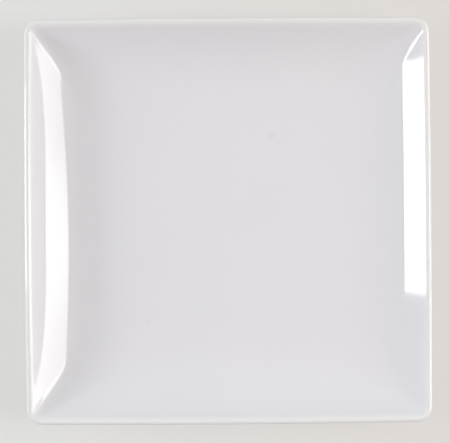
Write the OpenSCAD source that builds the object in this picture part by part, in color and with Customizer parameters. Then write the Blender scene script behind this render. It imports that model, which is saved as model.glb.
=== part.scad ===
// Square salad plate in white porcelain. A dish of fired clay has a flat well, a curved wall along
// each side and a rounded lip. A foot ring of the same clay is luted under it, and three coats of
// glaze are fired on: over the face, over the back, and over the base inside the foot ring.
// Only the edge that the plate stands on is bare clay.
// Millimetres, +Z up. The origin is the middle of the foot ring, at table height.

/* [Outline] */
// Width of the plate across the middle of its sides
plate_w = 210; // [190:1:260]
// How far the rounding of the outline's corners reaches along each side
corner_reach = 8.5; // [6:0.5:16]
// How far each side bows out at its middle
side_bow = 0.6; // [0:0.1:2]

/* [Dish] */
// Thickness of the dish from glaze to glaze
wall_t = 3.4; // [2.8:0.1:5]
// Radius of the lip's shoulder, which leads from the wall up to the lip's edge
lip_shoulder_r = 4.5; // [2:0.1:6]
// Lean of the lip's surface where the shoulder meets the edge, in degrees towards the well
lip_lean = 22; // [0:1:25]
// Run of the curved wall in plan, from the flat of the well to the lip
wall_run = 34.5; // [25:0.5:45]
// Height that the wall climbs over that run
wall_rise = 15.5; // [8:0.5:20]
// How far the rounding of the flat well's corners reaches along each side
well_corner_reach = 25; // [18:0.5:40]

/* [Foot ring] */
// Height of the glazed base above the table
foot_h = 3; // [2.6:0.1:6]
// Distance from the edge of the flat well in to the outside of the ring
foot_inset = 1.5; // [1.4:0.1:3]
// Width of the ring where it joins the dish
foot_root_w = 6.5; // [5.5:0.1:7.5]
// Width of the ring at the table, over its rounded edges
foot_edge_w = 4; // [3:0.1:5]
// Radius of the two edges that meet the table
foot_edge_r = 0.6; // [0.3:0.1:0.9]

/* [Glaze] */
// Thickness of each coat
glaze_t = 0.3; // [0.2:0.05:0.4]
// Radius at which the glaze pools in the angle between the base and the foot ring
glaze_pool_r = 0.9; // [0.3:0.1:1]
// Height of the bare clay between the table and the glaze line
foot_bare_h = 1; // [0.9:0.1:1.4]

/* [Hidden] */

// Steps in each curve
side_steps = 4;
corner_steps = 8;
wall_steps = 10;
shoulder_steps = 4;
lip_steps = 6;
lip_under_steps = 3;
foot_edge_steps = 3;
pool_steps = 3;

// The wall's arcs on the face and on the back share one centre. Two arcs round the lip: its shoulder
// on the face, and from there over the crown to the back an edge of the radius that the thickness leaves.
half_w = plate_w / 2 - side_bow;
wall_slope = 2 * atan(wall_rise / wall_run);
face_r = wall_run / sin(wall_slope);
shoulder_turn = wall_slope - lip_lean;
lip_edge_r = (wall_t - lip_shoulder_r * (1 - cos(shoulder_turn))) / (1 + cos(shoulder_turn));
lip_x = half_w - lip_edge_r;
shoulder_x = lip_x + (lip_shoulder_r - lip_edge_r) * sin(lip_lean);
well_half = shoulder_x - (face_r + lip_shoulder_r) * sin(wall_slope);
wall_x = well_half + wall_run;
base_z = foot_h;
well_z = base_z + wall_t;
arc_z = well_z + face_r;
shoulder_z = arc_z - (face_r + lip_shoulder_r) * cos(wall_slope);
lip_z = shoulder_z + (lip_shoulder_r - lip_edge_r) * cos(lip_lean);

// The foot ring tapers evenly on both sides, from its root under the clay down to its rounded edges
root_z = base_z + glaze_t;
foot_out = well_half - foot_inset;
foot_in = foot_out - foot_root_w;
foot_taper = (foot_root_w - foot_edge_w) / 2;
line_taper = foot_taper * (root_z - foot_bare_h) / (root_z - foot_edge_r);

clay_colour = [0.90, 0.88, 0.84];
glaze_colour = [0.95, 0.95, 0.96];

// The plan: level lines that run around the plate

function turned(p, a) = [p.x * cos(a) - p.y * sin(a), p.x * sin(a) + p.y * cos(a)];

function bowed(p) = [
    p.x + side_bow * p.x / half_w * (1 - pow(p.y / half_w, 2)),
    p.y + side_bow * p.y / half_w * (1 - pow(p.x / half_w, 2))
];

// One side of a rounded square and the corner that follows it. The corner is a parabola, which leaves
// the side gently and bends most at its middle.
function side_and_corner(half, reach) = [
    for (i = [0:side_steps - 1]) [half, (half - reach) * (2 * i / side_steps - 1)],
    for (i = [0:corner_steps - 1]) let (done = i / corner_steps)
        [half - reach * pow(done, 2), half - reach * pow(1 - done, 2)]
];

function mix(a, b, share) = a + (b - a) * share;

// Reach of the corners of the level line that runs at a given distance from the middle. They follow
// the outline in over the lip, open out evenly down the wall, and follow the well in under the base.
function reach_at(half) =
    half > wall_x ? corner_reach - (half_w - half) :
    half < well_half ? well_corner_reach - (well_half - half) :
    mix(corner_reach - (half_w - wall_x), well_corner_reach, (wall_x - half) / wall_run);

// The level line through a point of the section, given as distance from the middle and height
function level_line(p) = [
    for (quarter = [0:3], q = side_and_corner(p[0], reach_at(p[0])))
        let (b = bowed(turned(q, 90 * quarter))) [b.x, b.y, p[1]]
];

// The section: depth is measured into the dish, from the surface of the glaze

function face_arc(depth) = [
    for (i = [0:wall_steps]) let (a = wall_slope * i / wall_steps, r = face_r + depth)
        [well_half + r * sin(a), arc_z - r * cos(a)]
];

function back_arc(depth) = [
    for (i = [wall_steps:-1:0]) let (a = wall_slope * i / wall_steps, r = face_r + wall_t - depth)
        [well_half + r * sin(a), arc_z - r * cos(a)]
];

// An arc of the lip about its centre. Its angles grow outwards from straight up.
function lip_arc(centre, r, from, to, steps) = [
    for (i = [0:steps]) let (a = mix(from, to, i / steps)) centre + r * [sin(a), cos(a)]
];

// The lip from the end of the face to its outermost line, and from there to the end of the back
function lip_over(depth) = joined([
    lip_arc([shoulder_x, shoulder_z], lip_shoulder_r - depth, -wall_slope, -lip_lean, shoulder_steps),
    lip_arc([lip_x, lip_z], lip_edge_r - depth, -lip_lean, 90, lip_steps)
]);
function lip_under(depth) =
    lip_arc([lip_x, lip_z], lip_edge_r - depth, 90, 180 - wall_slope, lip_under_steps);

// The pool of glaze in the angle from the base down to a side of the foot ring. The side stands at
// the given distance from the middle and faces away from it for 1, or towards it for -1.
function glaze_pool(side_x, facing) = [
    for (i = [0:pool_steps]) let (a = 90 * i / pool_steps)
        [side_x + facing * glaze_pool_r * (1 - sin(a)), base_z - glaze_pool_r * (1 - cos(a))]
];

function reverse(list) = [for (i = [len(list) - 1:-1:0]) list[i]];

// Joins runs of a section, with the points at which one run takes over from another kept once
function joined(runs) = let (list = [for (run = runs) each run]) [
    for (i = [0:len(list) - 1]) if (i == 0 || norm(list[i] - list[i - 1]) > 0.001) list[i]
];

// Skins the level lines through a section, given clockwise with height upwards. The section is
// either a loop of its own, or runs from one flat end face to another.
module skin(section, loop = false) {
    n = 4 * (side_steps + corner_steps);
    levels = len(section);
    function at(level, i) = (level % levels) * n + i % n;
    walls = [
        for (k = [0:levels - (loop ? 1 : 2)], i = [0:n - 1]) each [
            [at(k, i), at(k, i + 1), at(k + 1, i + 1)],
            [at(k, i), at(k + 1, i + 1), at(k + 1, i)]
        ]
    ];
    first = [for (i = [n - 1:-1:0]) at(0, i)];
    last = [for (i = [0:n - 1]) at(levels - 1, i)];
    polyhedron([for (p = section) each level_line(p)], loop ? walls : concat(walls, [first, last]));
}

// The pieces

module porcelain_body() {
    section = joined([face_arc(glaze_t), lip_over(glaze_t), lip_under(glaze_t), back_arc(glaze_t)]);
    color(clay_colour) skin(section);
}

module foot_ring() {
    edge_out = foot_out - foot_taper;
    edge_in = foot_in + foot_taper;
    rounding = [
        for (i = [0:foot_edge_steps]) let (a = 90 * i / foot_edge_steps)
            foot_edge_r * [1 - cos(a), 1 - sin(a)]
    ];
    section = joined([
        [[foot_in, root_z], [foot_out, root_z]],
        [for (p = rounding) [edge_out - p.x, p.y]],
        [for (p = reverse(rounding)) [edge_in + p.x, p.y]]
    ]);
    color(clay_colour) skin(section, loop = true);
}

module face_glaze() {
    surface = joined([face_arc(0), lip_over(0)]);
    clay = joined([face_arc(glaze_t), lip_over(glaze_t)]);
    color(glaze_colour) skin(joined([surface, reverse(clay)]));
}

module back_glaze() {
    line_x = foot_out - line_taper;
    surface = joined([
        lip_under(0),
        back_arc(0),
        glaze_pool(foot_out + glaze_t, 1),
        [[line_x + glaze_t, foot_bare_h]]
    ]);
    clay = joined([
        lip_under(glaze_t),
        back_arc(glaze_t),
        [[foot_out, root_z], [line_x, foot_bare_h]]
    ]);
    color(glaze_colour) skin(joined([reverse(clay), surface]), loop = true);
}

module base_glaze() {
    line_x = foot_in + line_taper;
    section = joined([
        [[foot_in, root_z], [line_x, foot_bare_h], [line_x - glaze_t, foot_bare_h]],
        reverse(glaze_pool(foot_in - glaze_t, -1))
    ]);
    color(glaze_colour) skin(section);
}

porcelain_body();
foot_ring();
face_glaze();
back_glaze();
base_glaze();
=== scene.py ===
"""Square salad plate in white porcelain: its glaze, its bare clay, a pale table, studio light and a camera.

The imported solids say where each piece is. The pieces that show are made here as smooth skins, all by one
rule: a section, drawn as a chain of arcs and straight lines, is carried round the level lines of a rounded
square.
"""

import logging
import math
from collections.abc import Mapping, Sequence
from dataclasses import dataclass
from enum import Enum
from typing import TypeAlias

import bpy
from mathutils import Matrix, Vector


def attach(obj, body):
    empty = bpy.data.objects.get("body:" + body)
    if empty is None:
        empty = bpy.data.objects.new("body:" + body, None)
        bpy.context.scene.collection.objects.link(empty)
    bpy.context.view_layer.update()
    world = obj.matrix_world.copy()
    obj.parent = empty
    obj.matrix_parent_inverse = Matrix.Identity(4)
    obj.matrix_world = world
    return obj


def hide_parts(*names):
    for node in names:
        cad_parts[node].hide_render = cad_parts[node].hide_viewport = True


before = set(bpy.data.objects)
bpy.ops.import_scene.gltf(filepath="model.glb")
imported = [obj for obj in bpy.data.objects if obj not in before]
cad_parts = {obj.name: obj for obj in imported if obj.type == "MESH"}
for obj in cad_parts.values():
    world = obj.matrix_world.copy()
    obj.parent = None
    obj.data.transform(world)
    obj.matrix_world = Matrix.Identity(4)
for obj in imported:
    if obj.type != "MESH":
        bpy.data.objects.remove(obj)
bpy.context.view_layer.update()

log = logging.getLogger("salad_plate")

MM = 0.001
QUARTER = math.pi / 2
CERAMIC_IOR = 1.5

Rgb: TypeAlias = tuple[float, float, float]
Rgba: TypeAlias = tuple[float, float, float, float]
Operand: TypeAlias = "Expr | float"
SocketValue: TypeAlias = "Expr | float | Sequence[float] | bpy.types.ID"


@dataclass(frozen=True)
class PlateSizes:
    """The plate's driving sizes in metres and radians, as its solids have them, and what follows."""

    plate_w: float = 210 * MM
    corner_reach: float = 8.5 * MM
    side_bow: float = 0.6 * MM
    wall_t: float = 3.4 * MM
    lip_shoulder_r: float = 4.5 * MM
    lip_lean: float = math.radians(22)
    wall_run: float = 34.5 * MM
    wall_rise: float = 15.5 * MM
    well_corner_reach: float = 25 * MM
    foot_h: float = 3 * MM
    foot_inset: float = 1.5 * MM
    foot_root_w: float = 6.5 * MM
    foot_edge_w: float = 4 * MM
    foot_edge_r: float = 0.6 * MM
    glaze_t: float = 0.3 * MM
    glaze_pool_r: float = 0.9 * MM
    foot_bare_h: float = 1 * MM

    @property
    def half_w(self) -> float:
        """Half the width before the sides bow out."""
        return self.plate_w / 2 - self.side_bow

    @property
    def wall_slope(self) -> float:
        """Slope of the wall where it meets the lip, in radians."""
        return 2 * math.atan(self.wall_rise / self.wall_run)

    @property
    def face_r(self) -> float:
        """Radius of the wall's arc on the face."""
        return self.wall_run / math.sin(self.wall_slope)

    @property
    def shoulder_turn(self) -> float:
        """How far the lip's shoulder turns between the wall and the lip's edge, in radians."""
        return self.wall_slope - self.lip_lean

    @property
    def lip_edge_r(self) -> float:
        """Radius of the lip's edge, which runs from the shoulder over the crown to the back."""
        shoulder_t = self.lip_shoulder_r * (1 - math.cos(self.shoulder_turn))
        return (self.wall_t - shoulder_t) / (1 + math.cos(self.shoulder_turn))

    @property
    def lip_stem(self) -> tuple[float, float]:
        """The straight run on the back between the wall's arc and the lip's edge, as its way out and up."""
        length = (self.lip_shoulder_r - self.lip_edge_r) * math.sin(self.shoulder_turn)
        return length * math.cos(self.wall_slope), length * math.sin(self.wall_slope)

    @property
    def lip_x(self) -> float:
        """Distance from the middle to the lip's crown."""
        return self.half_w - self.lip_edge_r

    @property
    def well_half(self) -> float:
        """Half the width of the flat well."""
        shoulder_x = self.lip_x + (self.lip_shoulder_r - self.lip_edge_r) * math.sin(self.lip_lean)
        return shoulder_x - (self.face_r + self.lip_shoulder_r) * math.sin(self.wall_slope)

    @property
    def wall_x(self) -> float:
        """Distance from the middle to the top of the wall."""
        return self.well_half + self.wall_run

    @property
    def wall_corner_reach(self) -> float:
        """Reach of the corners of the level line along the top of the wall."""
        return self.corner_reach - (self.half_w - self.wall_x)

    @property
    def well_z(self) -> float:
        """Height of the flat well."""
        return self.foot_h + self.wall_t

    @property
    def lip_top(self) -> float:
        """Height of the lip's crown.

        Returns:
            The height above the table.
        """
        shoulder_rise = self.lip_shoulder_r * (math.cos(self.lip_lean) - math.cos(self.wall_slope))
        edge_rise = self.lip_edge_r * (1 - math.cos(self.lip_lean))
        return self.well_z + self.wall_rise + shoulder_rise + edge_rise

    @property
    def root_z(self) -> float:
        """Height at which the foot ring joins the clay of the dish."""
        return self.foot_h + self.glaze_t

    @property
    def foot_out(self) -> float:
        """Distance from the middle to the outside of the foot ring, at its root."""
        return self.well_half - self.foot_inset

    @property
    def foot_in(self) -> float:
        """Distance from the middle to the inside of the foot ring, at its root."""
        return self.foot_out - self.foot_root_w

    @property
    def foot_taper(self) -> float:
        """How far each side of the foot ring draws in on its way down."""
        return (self.foot_root_w - self.foot_edge_w) / 2

    @property
    def line_taper(self) -> float:
        """How far each side of the foot ring has drawn in at the glaze line."""
        return self.foot_taper * (self.root_z - self.foot_bare_h) / (self.root_z - self.foot_edge_r)


class Expr:
    """A node's output that takes part in sums, each of which adds a Math node to its tree."""

    def __init__(self, bench: "Bench", socket: bpy.types.NodeSocket) -> None:
        """Wraps one output socket of the bench's tree."""
        self.bench = bench
        self.socket = socket

    def __add__(self, other: Operand) -> "Expr":
        """The sum of the two."""
        return self.bench.math("ADD", self, other)

    def __radd__(self, other: float) -> "Expr":
        """The sum of a number and this."""
        return self.bench.math("ADD", other, self)

    def __sub__(self, other: Operand) -> "Expr":
        """This less the other."""
        return self.bench.math("SUBTRACT", self, other)

    def __rsub__(self, other: float) -> "Expr":
        """A number less this."""
        return self.bench.math("SUBTRACT", other, self)

    def __mul__(self, other: Operand) -> "Expr":
        """The product of the two."""
        return self.bench.math("MULTIPLY", self, other)

    def __rmul__(self, other: float) -> "Expr":
        """The product of a number and this."""
        return self.bench.math("MULTIPLY", other, self)

    def __truediv__(self, other: Operand) -> "Expr":
        """This divided by the other."""
        return self.bench.math("DIVIDE", self, other)

    def __gt__(self, other: Operand) -> "Expr":
        """1 where this is the greater, and 0 elsewhere."""
        return self.bench.math("GREATER_THAN", self, other)


class Bench:
    """Adds nodes to one tree."""

    def __init__(self, tree: bpy.types.NodeTree) -> None:
        """Takes the tree that the nodes go to."""
        self.tree = tree

    def node(
        self,
        kind: str,
        settings: Mapping[str, object] | None = None,
        sockets: Mapping[str | int, SocketValue] | None = None,
    ) -> bpy.types.Node:
        """Adds any node.

        Args:
            kind: the node's type.
            settings: its own properties, which are set first.
            sockets: the values or links of its inputs, by name or number.

        Returns:
            The new node.
        """
        node = self.tree.nodes.new(kind)
        for name, value in (settings or {}).items():
            setattr(node, name, value)
        for key, value in (sockets or {}).items():
            if isinstance(value, Expr):
                self.tree.links.new(value.socket, node.inputs[key])
            else:
                node.inputs[key].default_value = value
        return node

    def out(
        self,
        kind: str,
        settings: Mapping[str, object] | None = None,
        sockets: Mapping[str | int, SocketValue] | None = None,
        output: str | int = 0,
    ) -> Expr:
        """Adds any node, as node() does, and returns the output of that name or number."""
        return Expr(self, self.node(kind, settings, sockets).outputs[output])

    def math(self, operation: str, *values: Operand, clamp: bool = False) -> Expr:
        """Adds a Math node.

        Args:
            operation: what the node does.
            values: its inputs in order.
            clamp: whether the result is held from 0 to 1.

        Returns:
            The node's result.
        """
        settings = {"operation": operation, "use_clamp": clamp}
        return self.out("ShaderNodeMath", settings, dict(enumerate(values)))

    def share(self, value: Expr, start: Operand, length: Operand) -> Expr:
        """How much of a stretch is behind the value, from 0 at its start to 1 at its end."""
        return self.math("DIVIDE", value - start, length, clamp=True)

    def ease(self, value: Expr, low: float, high: float) -> Expr:
        """A smooth step from 0 at low to 1 at high."""
        sockets = {"Value": value, "From Min": low, "From Max": high}
        return self.out("ShaderNodeMapRange", {"interpolation_type": "SMOOTHSTEP"}, sockets)

    def tint(self, share: Expr, near: SocketValue, far: SocketValue) -> Expr:
        """A colour on the way from near, at share 0, to far, at share 1."""
        return self.out("ShaderNodeMix", {"data_type": "RGBA"}, {0: share, 6: near, 7: far}, output=2)

    def noise(self, place: Expr, scale: float, detail: float) -> Expr:
        """Clouds from 0 to 1, of which the scale is how many there are to the metre."""
        return self.out("ShaderNodeTexNoise", sockets={"Vector": place, "Scale": scale, "Detail": detail})

    def bump(self, height: Expr, depth: float, strength: float) -> Expr:
        """The normal of a surface whose height changes by up to a depth."""
        sockets = {"Strength": strength, "Distance": depth, "Height": height}
        return self.out("ShaderNodeBump", sockets=sockets)


@dataclass(frozen=True)
class Line:
    """A straight run of a section."""

    name: str
    across: float
    rise: float
    steps: int = 1

    def travel(self, sweep: "LevelLineSweep", share: Expr) -> tuple[Expr, Expr]:
        """How far the run has gone.

        Args:
            sweep: the tree that the run's nodes go to.
            share: how much of the run is behind, from 0 to 1.

        Returns:
            The way gone outwards and the way gone up.
        """
        across = sweep.size(f"{self.name} across", self.across)
        rise = sweep.size(f"{self.name} rise", self.rise)
        return share * across, share * rise


@dataclass(frozen=True)
class Arc:
    """A round run of a section. Its angles are in radians from straight down, and grow outwards."""

    name: str
    radius: float
    start: float
    end: float
    steps: int

    def travel(self, sweep: "LevelLineSweep", share: Expr) -> tuple[Expr, Expr]:
        """How far the run has gone.

        Args:
            sweep: the tree that the run's nodes go to.
            share: how much of the run is behind, from 0 to 1.

        Returns:
            The way gone outwards and the way gone up.
        """
        bench = sweep.bench
        radius = sweep.size(f"{self.name} radius", self.radius)
        start = sweep.size(f"{self.name} start", self.start)
        end = sweep.size(f"{self.name} end", self.end)
        angle = start + share * (end - start)
        across = radius * (bench.math("SINE", angle) - bench.math("SINE", start))
        rise = radius * (bench.math("COSINE", start) - bench.math("COSINE", angle))
        return across, rise


Run: TypeAlias = Line | Arc


@dataclass(frozen=True)
class Section:
    """A chain of runs, drawn clockwise from a start that is given as distance from the middle and height.

    Inside flat_edge the level lines shrink to the middle in proportion.
    """

    start: tuple[float, float]
    runs: tuple[Run, ...]
    flat_edge: float


class LevelLineSweep:
    """A node tree that carries a section round the plate's level lines, quarter by quarter."""

    SIDE_STEPS = 26
    CORNER_STEPS = 24
    SHARP_ANGLE = math.radians(40)
    MERGE_DISTANCE = 0.002 * MM
    WARP = 0.12 * MM
    WARP_SCALE = 11.0
    WARP_SEED = 4.0
    WARP_MIDDLE = 0.5

    def __init__(self, name: str, sizes: PlateSizes, section: Section, material: bpy.types.Material) -> None:
        """Builds the tree.

        Args:
            name: the piece that the tree makes.
            sizes: the plate's sizes, which shape its level lines.
            section: the piece's section.
            material: the finish of the piece.
        """
        self.tree = bpy.data.node_groups.new(name, "GeometryNodeTree")
        self.tree.is_modifier = True
        self.tree.interface.new_socket("Piece", in_out="OUTPUT", socket_type="NodeSocketGeometry")
        self.bench = Bench(self.tree)
        self.entry = self.bench.node("NodeGroupInput")
        self.values: dict[str, float] = {}
        quarter = self._quarter(sizes, section)
        whole = self._four_quarters(quarter)
        warped = self._warped(whole, sizes)
        self._close(warped, material)

    def size(self, name: str, value: float) -> Expr:
        """Adds a named input to the tree and keeps its value for the piece.

        Args:
            name: the input's name.
            value: the number that the piece is made with.

        Returns:
            The input.
        """
        socket = self.tree.interface.new_socket(name, in_out="INPUT", socket_type="NodeSocketFloat")
        self.values[socket.identifier] = value
        return Expr(self.bench, self.entry.outputs[name])

    def _quarter(self, sizes: PlateSizes, section: Section) -> Expr:
        """One side of the piece and the corner after it, as a grid that is bent to shape.

        The side's points gather towards its ends, so that its shading stays true up to the corners. A corner
        is a parabola: it leaves the side gently and bends most at its middle.

        Args:
            sizes: the plate's sizes.
            section: the piece's section.

        Returns:
            The quarter's mesh.
        """
        bench = self.bench
        around = self.SIDE_STEPS + self.CORNER_STEPS
        along = sum(run.steps for run in section.runs)
        grid = bench.out("GeometryNodeMeshGrid", sockets={
            "Size X": around, "Size Y": along, "Vertices X": around + 1, "Vertices Y": along + 1,
        })
        step = bench.node("ShaderNodeSeparateXYZ", sockets={0: bench.out("GeometryNodeInputPosition")})
        around_step = Expr(bench, step.outputs["X"]) + around / 2
        along_step = Expr(bench, step.outputs["Y"]) + along / 2

        half, height = self._along(section, along_step)
        reach = self._corner_reach(sizes, section, half)
        side = bench.math("COSINE", bench.share(around_step, 0, self.SIDE_STEPS) * math.pi)
        done = bench.share(around_step, self.SIDE_STEPS, self.CORNER_STEPS)
        left = 1 - done
        x = half - reach * done * done
        y = (reach - half) * side + reach * (1 - left * left)

        half_w = self.size("Half width", sizes.half_w)
        bow = self.size("Side bow", sizes.side_bow)
        across, along_side = x / half_w, y / half_w
        bowed_x = x + bow * across * (1 - along_side * along_side)
        bowed_y = y + bow * along_side * (1 - across * across)
        place = bench.out("ShaderNodeCombineXYZ", sockets={0: bowed_x, 1: bowed_y, 2: height})
        return bench.out("GeometryNodeSetPosition", sockets={"Geometry": grid, "Position": place})

    def _along(self, section: Section, step: Expr) -> tuple[Expr, Expr]:
        """The point of the section at a step.

        Args:
            section: the piece's section.
            step: how many steps of the section are behind.

        Returns:
            The point's distance from the middle and its height.
        """
        half = self.size("Start distance", section.start[0])
        height = self.size("Start height", section.start[1])
        done = 0
        for run in section.runs:
            across, rise = run.travel(self, self.bench.share(step, done, run.steps))
            half = half + across
            height = height + rise
            done += run.steps
        return half, height

    def _corner_reach(self, sizes: PlateSizes, section: Section, half: Expr) -> Expr:
        """How far the corners of a level line reach along its sides.

        They follow the outline in over the lip, open out evenly down the wall, and follow the well in under
        the base.

        Args:
            sizes: the plate's sizes.
            section: the piece's section, which says where its flat ends.
            half: the level line's distance from the middle.

        Returns:
            The reach.
        """
        bench = self.bench
        well_half = self.size("Well half width", sizes.well_half)
        well_corner = self.size("Well corner reach", sizes.well_corner_reach)
        wall_run = self.size("Wall run", sizes.wall_run)
        wall_corner = self.size("Wall top corner reach", sizes.wall_corner_reach)
        flat_edge = self.size("Flat edge", section.flat_edge)
        outer = bench.math("MAXIMUM", half, flat_edge)
        inside = bench.math("MINIMUM", outer - well_half, 0)
        outside = bench.math("MAXIMUM", outer - well_half - wall_run, 0)
        down_wall = 1 - bench.share(outer, well_half, wall_run)
        reach = wall_corner + inside + down_wall * (well_corner - wall_corner) + outside
        return reach * bench.math("MINIMUM", half / flat_edge, 1)

    def _four_quarters(self, quarter: Expr) -> Expr:
        """Sets the quarter four times round the middle and merges it to one mesh.

        Args:
            quarter: the mesh of a side and its corner.

        Returns:
            The whole mesh.
        """
        bench = self.bench
        points = bench.out("GeometryNodePoints", sockets={"Count": 4})
        turn = bench.out("GeometryNodeInputIndex") * QUARTER
        euler = bench.out("ShaderNodeCombineXYZ", sockets={2: turn})
        rotation = bench.out("FunctionNodeEulerToRotation", sockets={0: euler})
        instances = bench.out("GeometryNodeInstanceOnPoints", sockets={
            "Points": points, "Instance": quarter, "Rotation": rotation,
        })
        whole = bench.out("GeometryNodeRealizeInstances", sockets={"Geometry": instances})
        sockets = {"Geometry": whole, "Distance": self.MERGE_DISTANCE}
        merged = bench.out("GeometryNodeMergeByDistance", sockets=sockets)
        return bench.out("GeometryNodeFlipFaces", sockets={"Mesh": merged})

    def _warped(self, whole: Expr, sizes: PlateSizes) -> Expr:
        """Gives the walls the slow unevenness that firing leaves. The well and the foot stay true.

        Args:
            whole: the even mesh.
            sizes: the plate's sizes, which say where the walls begin and end.

        Returns:
            The uneven mesh.
        """
        bench = self.bench
        amount = self.size("Warp", self.WARP)
        scale = self.size("Warp waves per metre", self.WARP_SCALE)
        place = bench.out("GeometryNodeInputPosition")
        height = bench.out("ShaderNodeSeparateXYZ", sockets={0: place}, output="Z")
        waves = bench.out("ShaderNodeTexNoise", {"noise_dimensions": "4D"}, {
            "Vector": place, "W": self.WARP_SEED, "Scale": scale, "Detail": 0.0,
        })
        up_wall = bench.ease(height, sizes.well_z, sizes.lip_top)
        lift = bench.out("ShaderNodeCombineXYZ", sockets={2: (waves - self.WARP_MIDDLE) * amount * up_wall})
        return bench.out("GeometryNodeSetPosition", sockets={"Geometry": whole, "Offset": lift})

    def _close(self, piece: Expr, material: bpy.types.Material) -> None:
        """Shades the piece smooth but for its sharp edges, gives it its finish and puts it out.

        Args:
            piece: the mesh.
            material: its finish.
        """
        bench = self.bench
        smooth = bench.out("GeometryNodeSetShadeSmooth", {"domain": "FACE"}, {
            0: piece, "Shade Smooth": True,
        })
        sharp = bench.out("GeometryNodeInputMeshEdgeAngle") > self.SHARP_ANGLE
        edged = bench.out("GeometryNodeSetShadeSmooth", {"domain": "EDGE"}, {
            0: smooth, "Selection": sharp, "Shade Smooth": False,
        })
        dressed = bench.out("GeometryNodeSetMaterial", sockets={"Geometry": edged, "Material": material})
        bench.node("NodeGroupOutput", sockets={0: dressed})

    def grow(self, name: str) -> bpy.types.Object:
        """Runs the tree once and keeps its result as a plain mesh.

        Args:
            name: the new object's name.

        Returns:
            The object, at the origin and with no modifier.
        """
        piece = bpy.data.objects.new(name, bpy.data.meshes.new(f"{name}_start"))
        bpy.context.scene.collection.objects.link(piece)
        modifier = piece.modifiers.new("level_lines", "NODES")
        modifier.node_group = self.tree
        for identifier, value in self.values.items():
            modifier[identifier] = value
        evaluated = piece.evaluated_get(bpy.context.evaluated_depsgraph_get())
        mesh = bpy.data.meshes.new_from_object(evaluated)
        mesh.name = name
        piece.modifiers.remove(modifier)
        piece.data = mesh
        return piece


@dataclass(frozen=True)
class Finish:
    """A surface, by its material's name."""

    name: str

    def material(self) -> bpy.types.Material:
        """Makes the finish's material.

        Returns:
            The material.
        """
        material = bpy.data.materials.new(self.name)
        material.use_nodes = True
        material.node_tree.nodes.clear()
        bench = Bench(material.node_tree)
        surface = self.surface(bench)
        bench.node("ShaderNodeOutputMaterial", sockets={"Surface": surface})
        return material

    def surface(self, bench: Bench) -> Expr:
        """Adds the finish's shader to its tree."""
        raise NotImplementedError


@dataclass(frozen=True)
class PlateFinish(Finish):
    """A surface of the plate, with the record's slot that it stands for."""

    slot: str


@dataclass(frozen=True)
class Speck:
    """A faint smudge in the clay of the well, given by its middle and its radius."""

    middle: tuple[float, float]
    radius: float


@dataclass(frozen=True)
class Glaze(PlateFinish):
    """Clear glossy glaze over white clay, a shade warmer where it has run thin over the lip.

    Its white drifts a little over the plate, and its surface has a slow peel. Scales are to the metre.
    The glaze is divided into patches, of which the rarity is the share that has no pinhole. A pinhole fades
    over its edge, which is given in patches from its middle.
    """

    sizes: PlateSizes
    white: Rgba = (0.75, 0.735, 0.76, 1)
    deep_white: Rgba = (0.73, 0.72, 0.745, 1)
    drift_scale: float = 26.0
    lip_white: Rgba = (0.773, 0.762, 0.76, 1)
    lip_band: float = 3 * MM
    least_roughness: float = 0.02
    roughness_drift: float = 0.03
    peel_scale: float = 75.0
    peel_depth: float = 0.05 * MM
    peel_strength: float = 0.25
    speck_grey: Rgba = (0.7, 0.692, 0.715, 1)
    specks: tuple[Speck, ...] = (
        Speck((23.4 * MM, 45.2 * MM), 3.6 * MM),
        Speck((-42.5 * MM, -53.5 * MM), 1.8 * MM),
    )
    pinhole_grey: Rgba = (0.66, 0.645, 0.65, 1)
    pinhole_scale: float = 55.0
    pinhole_edge: tuple[float, float] = (0.005, 0.02)
    pinhole_rarity: float = 0.975

    def surface(self, bench: Bench) -> Expr:
        """Adds the glaze's shader to its tree.

        Args:
            bench: the material's tree.

        Returns:
            The shader.
        """
        place = bench.out("ShaderNodeTexCoord", output="Object")
        height = bench.out("ShaderNodeSeparateXYZ", sockets={0: place}, output="Z")
        drift = bench.noise(place, self.drift_scale, detail=2.0)
        body = bench.tint(drift, self.deep_white, self.white)
        lip = bench.ease(height, self.sizes.lip_top - self.lip_band, self.sizes.lip_top)
        edged = bench.tint(lip, body, self.lip_white)
        specked = bench.tint(self._specks(bench, place), edged, self.speck_grey)
        colour = bench.tint(self._pinholes(bench, place), specked, self.pinhole_grey)
        peel = bench.noise(place, self.peel_scale, detail=1.0)
        return bench.out("ShaderNodeBsdfPrincipled", sockets={
            "Base Color": colour,
            "Roughness": self.least_roughness + self.roughness_drift * drift,
            "IOR": CERAMIC_IOR,
            "Normal": bench.bump(peel, self.peel_depth, self.peel_strength),
        })

    def _specks(self, bench: Bench, place: Expr) -> Expr:
        """Where the well's specks are.

        Args:
            bench: the material's tree.
            place: the point on the plate.

        Returns:
            1 at the middle of a speck, and 0 outside them all.
        """
        shades = []
        for speck in self.specks:
            ends = {0: place, 1: (*speck.middle, self.sizes.well_z)}
            away = bench.out("ShaderNodeVectorMath", {"operation": "DISTANCE"}, ends, output="Value")
            shades.append(1 - bench.ease(away, 0.0, speck.radius))
        return sum(shades)

    def _pinholes(self, bench: Bench, place: Expr) -> Expr:
        """Where the glaze has pinpricks: about one patch in forty has one.

        Args:
            bench: the material's tree.
            place: the point on the plate.

        Returns:
            1 in a pinprick, and 0 outside them all.
        """
        sockets = {"Vector": place, "Scale": self.pinhole_scale}
        patches = bench.node("ShaderNodeTexVoronoi", {"voronoi_dimensions": "2D"}, sockets)
        pick = bench.out("ShaderNodeSeparateColor", sockets={0: Expr(bench, patches.outputs["Color"])})
        near = 1 - bench.ease(Expr(bench, patches.outputs["Distance"]), *self.pinhole_edge)
        return near * (pick > self.pinhole_rarity)


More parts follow.
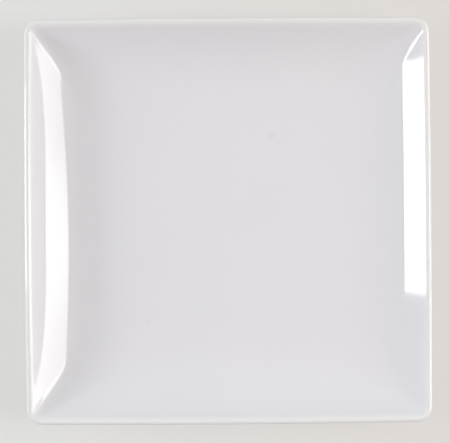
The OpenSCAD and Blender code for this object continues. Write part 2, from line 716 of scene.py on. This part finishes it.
@dataclass(frozen=True)
class BareClay(PlateFinish):
    """Fired clay with no glaze: a dry, fine-grained warm white, rubbed grey in patches where it stands."""

    clay: Rgba = (0.76, 0.725, 0.665, 1)
    pale_clay: Rgba = (0.82, 0.79, 0.735, 1)
    grain_scale: float = 1800.0
    grain_depth: float = 0.05 * MM
    grain_strength: float = 0.5
    rubbed: Rgba = (0.6, 0.575, 0.54, 1)
    rub_h: float = 0.25 * MM
    patch_scale: float = 90.0
    patch_edge: tuple[float, float] = (0.45, 0.65)
    least_roughness: float = 0.7
    roughness_drift: float = 0.2

    def surface(self, bench: Bench) -> Expr:
        """Adds the clay's shader to its tree.

        Args:
            bench: the material's tree.

        Returns:
            The shader.
        """
        place = bench.out("ShaderNodeTexCoord", output="Object")
        height = bench.out("ShaderNodeSeparateXYZ", sockets={0: place}, output="Z")
        grain = bench.noise(place, self.grain_scale, detail=3.0)
        patches = bench.noise(place, self.patch_scale, detail=3.0)
        dry = bench.tint(grain, self.clay, self.pale_clay)
        rub = (1 - bench.ease(height, 0.0, self.rub_h)) * bench.ease(patches, *self.patch_edge)
        colour = bench.tint(rub, dry, self.rubbed)
        return bench.out("ShaderNodeBsdfPrincipled", sockets={
            "Base Color": colour,
            "Roughness": self.least_roughness + self.roughness_drift * patches,
            "IOR": CERAMIC_IOR,
            "Normal": bench.bump(grain, self.grain_depth, self.grain_strength),
        })


@dataclass(frozen=True)
class TableTop(Finish):
    """Plain pale board under the plate, painted lighter and a shade cooler on the left than on the right.

    The lighter left is painted light, standing in for light that falls on that side. Part of what is seen of
    it is its own even tone, over which shadows lie.
    """

    # painted light: the left tone is lighter than the right, standing in for light that falls on the left
    painted_light_left_tone: Rgba = (0.742, 0.739, 0.722, 1)
    right_tone: Rgba = (0.732, 0.7, 0.677, 1)
    painted_light_reach: float = 130 * MM
    roughness: float = 0.9
    even_share: float = 0.8

    def surface(self, bench: Bench) -> Expr:
        """Adds the board's shader to its tree.

        Args:
            bench: the material's tree.

        Returns:
            The shader.
        """
        place = bench.out("ShaderNodeTexCoord", output="Object")
        across = bench.out("ShaderNodeSeparateXYZ", sockets={0: place}, output="X")
        # painted light: the board's colour grows lighter from right to left, standing in for light on the left
        # side
        drift = bench.ease(across, -self.painted_light_reach, self.painted_light_reach)
        colour = bench.tint(drift, self.painted_light_left_tone, self.right_tone)
        sockets = {"Base Color": colour, "Roughness": self.roughness}
        board = bench.out("ShaderNodeBsdfPrincipled", sockets=sockets)
        tone = bench.out("ShaderNodeEmission", sockets={"Color": colour})
        ray = bench.node("ShaderNodeLightPath")
        kinds = ("Is Camera Ray", "Is Glossy Ray", "Is Transmission Ray")
        camera, glossy, through = (Expr(bench, ray.outputs[kind]) for kind in kinds)
        seen = bench.math("ADD", camera + glossy, through, clamp=True)
        return bench.out("ShaderNodeMixShader", sockets={0: seen * self.even_share, 1: board, 2: tone})


@dataclass(frozen=True)
class Cloth(Finish):
    """The tent's white cloth, lit as the tent is."""

    glow: Rgb

    def surface(self, bench: Bench) -> Expr:
        """Adds the cloth's shader to its tree."""
        return bench.out("ShaderNodeEmission", sockets={"Color": (*self.glow, 1)})


class Coat(Enum):
    """The three coats of glaze, by the node that each stands for."""

    FACE = "face_glaze"
    BACK = "back_glaze"
    BASE = "base_glaze"


@dataclass(frozen=True)
class GlazeCoats:
    """The glaze on the plate's face, back and base, each a thin closed skin on the clay.

    The parting is the angle of a short last step, before the line along which the face's coat meets the
    back's.
    """

    sizes: PlateSizes
    finish: Glaze
    parting: float = math.radians(0.5)

    def build(self) -> list[bpy.types.Object]:
        """Makes the three coats and seats them in the frame.

        Returns:
            The coats.
        """
        material = self.finish.material()
        sections = {Coat.FACE: self._face(), Coat.BACK: self._back(), Coat.BASE: self._base()}
        return [self._coat(coat, section, material) for coat, section in sections.items()]

    def _coat(self, coat: Coat, section: Section, material: bpy.types.Material) -> bpy.types.Object:
        """Makes one coat in place of its node.

        Args:
            coat: which of the coats it is.
            section: its section.
            material: its finish.

        Returns:
            The coat.
        """
        piece = LevelLineSweep(coat.value, self.sizes, section, material).grow(f"{coat.value}_coat")
        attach(piece, "root")
        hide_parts(coat.value)
        return piece

    def _face(self) -> Section:
        """From the middle of the well over the wall and the lip, and back along the clay.

        Returns:
            The section.
        """
        sizes = self.sizes
        wall_end, shoulder_end = math.pi + sizes.wall_slope, math.pi + sizes.lip_lean
        return Section((0.0, sizes.well_z), (
            Line("Well", sizes.well_half, 0.0, steps=8),
            Arc("Wall", sizes.face_r, 0.0, sizes.wall_slope, steps=30),
            Arc("Shoulder", sizes.lip_shoulder_r, wall_end, shoulder_end, steps=10),
            Arc("Lip", sizes.lip_edge_r, shoulder_end, QUARTER + self.parting, steps=20),
            Arc("Parting", sizes.lip_edge_r, QUARTER + self.parting, QUARTER, steps=1),
            Line("Coat edge", -sizes.glaze_t, 0.0),
            Arc("Clay lip", sizes.lip_edge_r - sizes.glaze_t, QUARTER, shoulder_end, steps=10),
            Arc("Clay shoulder", sizes.lip_shoulder_r - sizes.glaze_t, shoulder_end, wall_end, steps=4),
            Arc("Clay wall", sizes.face_r + sizes.glaze_t, sizes.wall_slope, 0.0, steps=14),
            Line("Clay well", -sizes.well_half, 0.0, steps=2),
        ), flat_edge=sizes.well_half)

    def _back(self) -> Section:
        """From the glaze line up the foot and out along the clay to the lip, and back over the glaze.

        Returns:
            The section.
        """
        sizes = self.sizes
        line_x = sizes.foot_out - sizes.line_taper
        back_r = sizes.face_r + sizes.wall_t
        pool_edge = sizes.foot_out + sizes.glaze_t + sizes.glaze_pool_r
        stem_out, stem_up = sizes.lip_stem
        return Section((line_x, sizes.foot_bare_h), (
            Line("Clay side", sizes.line_taper, sizes.root_z - sizes.foot_bare_h),
            Line("Clay base", sizes.foot_inset, 0.0),
            Arc("Clay wall", back_r - sizes.glaze_t, 0.0, sizes.wall_slope, steps=14),
            Line("Clay stem", stem_out, stem_up),
            Arc("Clay lip", sizes.lip_edge_r - sizes.glaze_t, sizes.wall_slope, QUARTER, steps=5),
            Line("Coat edge", sizes.glaze_t, 0.0),
            Arc("Parting", sizes.lip_edge_r, QUARTER, QUARTER - self.parting, steps=1),
            Arc("Lip", sizes.lip_edge_r, QUARTER - self.parting, sizes.wall_slope, steps=10),
            Line("Stem", -stem_out, -stem_up),
            Arc("Wall", back_r, sizes.wall_slope, 0.0, steps=30),
            Line("Base", pool_edge - sizes.well_half, 0.0),
            Arc("Pool", sizes.glaze_pool_r, math.pi, 3 * QUARTER, steps=8),
            Line("Side", -sizes.line_taper, sizes.foot_bare_h - sizes.foot_h + sizes.glaze_pool_r, steps=2),
            Line("Glaze line", -sizes.glaze_t, 0.0),
        ), flat_edge=sizes.foot_in)

    def _base(self) -> Section:
        """From the middle of the base along the clay to the glaze line, and back over the glaze.

        Returns:
            The section.
        """
        sizes = self.sizes
        flat_half = sizes.foot_in - sizes.glaze_t - sizes.glaze_pool_r
        return Section((0.0, sizes.root_z), (
            Line("Clay base", sizes.foot_in, 0.0, steps=2),
            Line("Clay side", sizes.line_taper, sizes.foot_bare_h - sizes.root_z),
            Line("Glaze line", -sizes.glaze_t, 0.0),
            Line("Side", -sizes.line_taper, sizes.foot_h - sizes.glaze_pool_r - sizes.foot_bare_h, steps=2),
            Arc("Pool", sizes.glaze_pool_r, QUARTER, math.pi, steps=8),
            Line("Base", -flat_half, 0.0, steps=8),
        ), flat_edge=flat_half)


@dataclass(frozen=True)
class ClayParts:
    """The clay under the glaze: the dish, which no longer shows, and the foot ring with its bare edge."""

    sizes: PlateSizes
    finish: BareClay

    def build(self) -> list[bpy.types.Object]:
        """Makes the foot ring and dresses it and the dish.

        Returns:
            The ring and the dish.
        """
        material = self.finish.material()
        ring = LevelLineSweep("foot_ring", self.sizes, self._ring(), material).grow("foot_ring_clay")
        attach(ring, "root")
        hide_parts("foot_ring")
        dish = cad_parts["porcelain_body"]
        dish.data.materials.clear()
        dish.data.materials.append(material)
        return [ring, dish]

    def _ring(self) -> Section:
        """Across the root, down the outer side, over the standing edge and up the inner side.

        Returns:
            The section.
        """
        sizes = self.sizes
        side = sizes.root_z - sizes.foot_edge_r
        return Section((sizes.foot_in, sizes.root_z), (
            Line("Root", sizes.foot_root_w, 0.0),
            Line("Outer side", -sizes.foot_taper, -side, steps=2),
            Arc("Outer edge", sizes.foot_edge_r, QUARTER, 0.0, steps=8),
            Line("Standing edge", 2 * sizes.foot_edge_r - sizes.foot_edge_w, 0.0, steps=2),
            Arc("Inner edge", sizes.foot_edge_r, 0.0, -QUARTER, steps=8),
            Line("Inner side", -sizes.foot_taper, side, steps=2),
        ), flat_edge=sizes.foot_in)


class Side(Enum):
    """A side of the plate, by its sign along X."""

    LEFT = -1
    RIGHT = 1


@dataclass(frozen=True)
class Direction:
    """The way that a ray leaves the plate, as the parts of a unit vector."""

    x: Expr
    y: Expr
    z: Expr


@dataclass(frozen=True)
class LampEdge:
    """A long edge of a lamp's patch, which falls away with a power of the distance from its crown.

    Its lean is in degrees from straight up, its crown is the Y part of a direction, and its fall is in degrees
    at a distance of 1.
    """

    BLUR = math.radians(1.0)

    lean: float
    crown: float = 0.0
    fall: float = 0.0
    power: int = 2

    def passed(self, bench: Bench, way: Direction, lean: Expr) -> Expr:
        """Tells the directions past the edge from those before it, with a soft change.

        Args:
            bench: the tent's tree.
            way: a direction.
            lean: how far the direction leans from straight up, in radians.

        Returns:
            1 past the edge, and 0 before it.
        """
        distance = bench.math("ABSOLUTE", way.y - self.crown)
        drop = bench.math("POWER", distance, self.power) * math.radians(self.fall)
        edge = math.radians(self.lean)
        return bench.ease(lean - drop, edge - self.BLUR, edge + self.BLUR)


@dataclass(frozen=True)
class Lamp:
    """A patch of the tent's wall that a lamp lights from outside. From the plate it is an arch along Y.

    Its ends are the Y parts of directions. The core is how much brighter the patch is at its upper edge's
    crown than at its ends.
    """

    END_BLUR = 0.0015
    CORE_REACH = 0.1

    side: Side
    upper: LampEdge
    lower: LampEdge
    ends: tuple[float, float]
    radiance: float
    core: float = 0.0

    def glow(self, bench: Bench, way: Direction) -> Expr:
        """How brightly the patch shines from a direction.

        Args:
            bench: the tent's tree.
            way: the direction.

        Returns:
            The radiance.
        """
        lean = bench.math("ARCTAN2", way.x * self.side.value, way.z)
        across = self.upper.passed(bench, way, lean) - self.lower.passed(bench, way, lean)
        first, last = (bench.ease(way.y, end - self.END_BLUR, end + self.END_BLUR) for end in self.ends)
        past_crown = bench.math("ABSOLUTE", way.y - self.upper.crown)
        middle = 1 - bench.ease(past_crown, 0, self.CORE_REACH)
        return across * (first - last) * (1 + self.core * middle) * self.radiance


@dataclass(frozen=True)
class Bounce:
    """The soft light that comes back from one side of the tent.

    The greater its focus, the closer it keeps to that side, near the table.
    """

    toward: tuple[float, float]
    radiance: float
    tint: Rgb
    focus: float = 1.0

    def glow(self, bench: Bench, way: Direction) -> Expr:
        """How brightly the side shines from a direction."""
        facing = way.x * self.toward[0] + way.y * self.toward[1]
        return bench.math("POWER", bench.math("MAXIMUM", facing, 0), self.focus) * self.radiance


@dataclass(frozen=True)
class LightTent:
    """White cloth all round the plate, which lamps light from outside.

    Past the table it is seen as a plain backdrop.
    """

    lamps: tuple[Lamp, ...]
    bounces: tuple[Bounce, ...]
    cloth: Rgb
    backdrop: Rgb

    def build(self) -> bpy.types.World:
        """Makes the tent as the scene's world.

        Returns:
            The world.
        """
        world = bpy.data.worlds.new("light_tent")
        world.use_nodes = True
        world.node_tree.nodes.clear()
        bench = Bench(world.node_tree)
        parts = bench.node("ShaderNodeSeparateXYZ", sockets={0: bench.out("ShaderNodeTexCoord")})
        way = Direction(*(Expr(bench, output) for output in parts.outputs))
        lamps = sum(lamp.glow(bench, way) for lamp in self.lamps)
        bounces = [(bounce.glow(bench, way), bounce.tint) for bounce in self.bounces]
        channels = []
        for channel, cloth in enumerate(self.cloth):
            tinted = (glow * tint[channel] for glow, tint in bounces)
            channels.append(sum(tinted, start=lamps + cloth))
        light = bench.out("ShaderNodeCombineColor", sockets=dict(enumerate(channels)))
        seen = bench.out("ShaderNodeLightPath", output="Is Camera Ray")
        colour = bench.tint(seen, light, (*self.backdrop, 1))
        shine = bench.out("ShaderNodeBackground", sockets={"Color": colour})
        bench.node("ShaderNodeOutputWorld", sockets={"Surface": shine})
        bpy.context.scene.world = world
        return world


@dataclass(frozen=True)
class Scrim:
    """A matt screen inside the tent that throws soft light on the plate and is not mirrored in its glaze.

    Its leans are those of its edges, in degrees from straight up. Its length lies along Y.
    """

    name: str
    side: Side
    upper_lean: float
    lower_lean: float
    radiance: float
    tint: Rgb
    length: float = 0.7
    distance: float = 1.2

    def build(self) -> bpy.types.Object:
        """Adds the screen as an area light that faces the plate.

        Returns:
            The screen.
        """
        middle = math.radians(self.upper_lean + self.lower_lean) / 2
        light = bpy.data.lights.new(self.name, "AREA")
        light.shape = "RECTANGLE"
        light.size = self.length
        light.size_y = 2 * self.distance * math.tan(math.radians(self.lower_lean - self.upper_lean) / 2)
        light.energy = self.radiance * math.pi * light.size * light.size_y
        light.color = self.tint
        screen = bpy.data.objects.new(self.name, light)
        way = Vector((self.side.value * math.sin(middle), 0.0, math.cos(middle)))
        screen.location = way * self.distance
        screen.rotation_euler = (-screen.location).to_track_quat("-Z", "Y").to_euler()
        screen.visible_camera = False
        screen.visible_glossy = False
        bpy.context.scene.collection.objects.link(screen)
        return screen


def stage_sheet(name: str, corners: Sequence[Sequence[float]], finish: Finish) -> bpy.types.Object:
    """Adds a flat sheet to the stage.

    Args:
        name: the new object's name.
        corners: its four corners in order.
        finish: its surface.

    Returns:
        The sheet.
    """
    mesh = bpy.data.meshes.new(name)
    mesh.from_pydata(corners, [], [(0, 1, 2, 3)])
    mesh.materials.append(finish.material())
    sheet = bpy.data.objects.new(name, mesh)
    bpy.context.scene.collection.objects.link(sheet)
    return sheet


@dataclass(frozen=True)
class Flag:
    """An upright card along Y that keeps the mirror image of a lamp out of one corner of the plate."""

    x: float
    span: tuple[float, float]
    height: float
    cloth: Cloth

    def build(self) -> bpy.types.Object:
        """Stands the card on the table, where only mirrored light meets it.

        Returns:
            The card.
        """
        first, last = self.span
        foot = [(self.x, first, 0.0), (self.x, last, 0.0)]
        top = [(self.x, last, self.height), (self.x, first, self.height)]
        card = stage_sheet("flag", foot + top, self.cloth)
        card.visible_camera = False
        card.visible_diffuse = False
        card.visible_shadow = False
        return card


@dataclass(frozen=True)
class Studio:
    """The pale table, with the tent of light over it."""

    table: TableTop
    tent: LightTent
    scrims: tuple[Scrim, ...]
    flag: Flag
    table_size: float = 6.0

    def build(self) -> None:
        """Lays the table, puts up the tent and sets the scrims and the flag in it."""
        half = self.table_size / 2
        corners = [(-half, -half, 0.0), (half, -half, 0.0), (half, half, 0.0), (-half, half, 0.0)]
        stage_sheet("table", corners, self.table)
        self.tent.build()
        for scrim in self.scrims:
            scrim.build()
        self.flag.build()


@dataclass(frozen=True)
class Overhead:
    """A camera that looks straight down on the plate.

    Places in its picture are in pixels, its distance is from the lip, and its roll is in degrees.
    """

    FRAME_W = 450
    SENSOR_W = 36.0

    plate_px: float = 406.5
    middle_px: tuple[float, float] = (228.0, 221.0)
    frame_middle_px: tuple[float, float] = (225.0, 221.5)
    distance: float = 0.65
    roll: float = 0.45

    def build(self, sizes: PlateSizes) -> bpy.types.Object:
        """Adds the camera and makes it the scene's own.

        Args:
            sizes: the plate's sizes, which give the scale of the picture.

        Returns:
            The camera.
        """
        pixel = sizes.plate_w / self.plate_px
        camera = bpy.data.cameras.new("overhead")
        camera.sensor_width = self.SENSOR_W
        camera.lens = self.SENSOR_W * self.distance / (pixel * self.FRAME_W)
        stand = bpy.data.objects.new("overhead", camera)
        right = (self.frame_middle_px[0] - self.middle_px[0]) * pixel
        up = (self.middle_px[1] - self.frame_middle_px[1]) * pixel
        stand.location = (right, up, sizes.lip_top - sizes.lip_edge_r + self.distance)
        stand.rotation_euler = (0.0, 0.0, -math.radians(self.roll))
        bpy.context.scene.collection.objects.link(stand)
        bpy.context.scene.camera = stand
        return stand


def plate_studio() -> Studio:
    """Sets out the table, the tent, the scrims and the flag.

    Returns:
        The studio, which is yet to be built.
    """
    left_lamp = Lamp(
        Side.LEFT, upper=LampEdge(59.0), lower=LampEdge(92.0), ends=(-0.053, 0.115), radiance=12.6,
    )
    right_lamp = Lamp(
        Side.RIGHT,
        upper=LampEdge(37.0, crown=-0.015, fall=700.0),
        lower=LampEdge(67.0, crown=0.008, fall=75e3, power=4),
        ends=(-0.4, 0.4),
        radiance=4.8,
        core=0.6,
    )
    back, back_tint = (0.0, 1.0), (0.8, 0.91, 0.94)
    front, front_tint = (0.0, -1.0), (1.0, 0.99, 0.96)
    bounces = (
        Bounce(back, 0.28, back_tint),
        Bounce(back, 0.54, back_tint, focus=5.0),
        Bounce(front, 0.8, front_tint, focus=16.0),
    )
    left_tint, right_tint = (0.965, 0.965, 1.0), (1.0, 0.963, 0.89)
    scrims = (
        Scrim("left_scrim", Side.LEFT, upper_lean=56.0, lower_lean=73.0, radiance=9.4, tint=left_tint),
        Scrim("right_scrim", Side.RIGHT, upper_lean=30.0, lower_lean=59.0, radiance=5.9, tint=right_tint),
    )
    tent = LightTent(
        (left_lamp, right_lamp), bounces, cloth=(0.112, 0.112, 0.123), backdrop=(0.735, 0.72, 0.7),
    )
    flag = Flag(x=-0.15, span=(-0.125, -0.0565), height=0.2, cloth=Cloth("tent_cloth", tent.cloth))
    return Studio(TableTop("pale_table"), tent, scrims, flag)


def main() -> None:
    """Builds the plate, the studio and the camera in order, and reports each piece."""
    logging.basicConfig(level=logging.INFO, format="%(name)s: %(message)s")
    sizes = PlateSizes()
    parts = (
        GlazeCoats(sizes, Glaze("white_glaze", "white_glaze", sizes)),
        ClayParts(sizes, BareClay("bare_porcelain", "bare_porcelain")),
    )
    for part in parts:
        for piece in part.build():
            log.info("%s: %d faces", piece.name, len(piece.data.polygons))
    plate_studio().build()
    Overhead().build(sizes)
    bpy.context.scene.view_settings.view_transform = "Standard"


if __name__ == "__main__":
    main()
